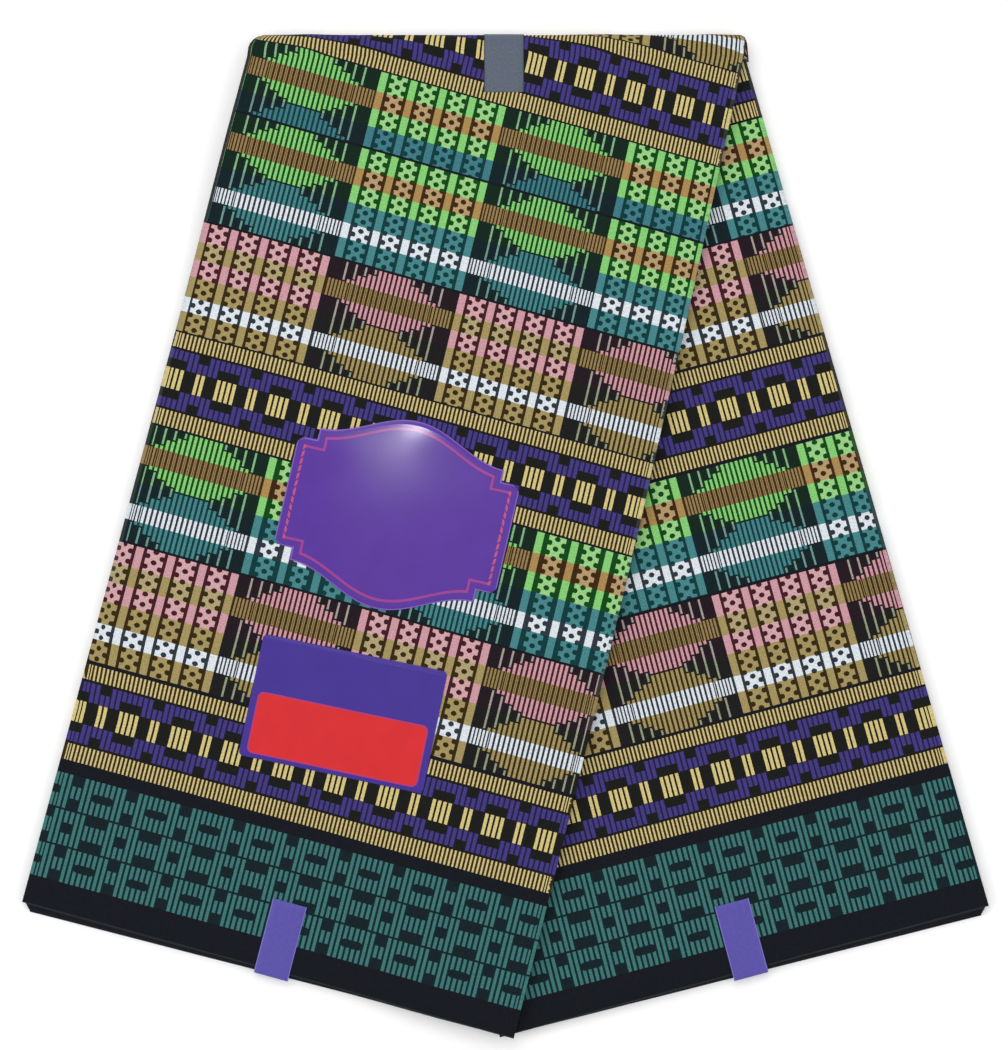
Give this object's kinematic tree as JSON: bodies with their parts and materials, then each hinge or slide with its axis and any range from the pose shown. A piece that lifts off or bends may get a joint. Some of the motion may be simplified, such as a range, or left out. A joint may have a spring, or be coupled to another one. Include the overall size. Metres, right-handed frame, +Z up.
{
  "type": "folded length of african wax print fabric",
  "caption": "Flat folded bundle of wax print cotton, bent over once at the top so that its two ends spread in an inverted V, with bare paper labels.",
  "frame": {"origin": "on the floor, at the middle of the bundle's bounding box", "axes": "+Z up from the floor, +Y from the hems towards the turn at the top, +X to the right as seen from above"},
  "size_m": [0.5828, 0.6152, 0.0153],
  "materials": {
    "printed_cotton": "plain-woven cotton with a crisp waxed finish and a banded print",
    "folded_cotton": "the same printed cotton, seen at its folded edges",
    "plaque_paper": "glossy laminated paper",
    "care_label_paper": "glossy paper",
    "grey_foil": "satin foil strip",
    "violet_foil": "satin foil strip"
  },
  "bodies": {
    "root": {"front_panel": "printed_cotton", "front_layers": "folded_cotton", "back_panel": "printed_cotton", "back_layers": "folded_cotton", "plaque_label": "plaque_paper", "care_label": "care_label_paper", "crown_seal": "grey_foil", "front_hem_seal": "violet_foil", "back_hem_seal": "violet_foil"}
  },
  "joints": []
}
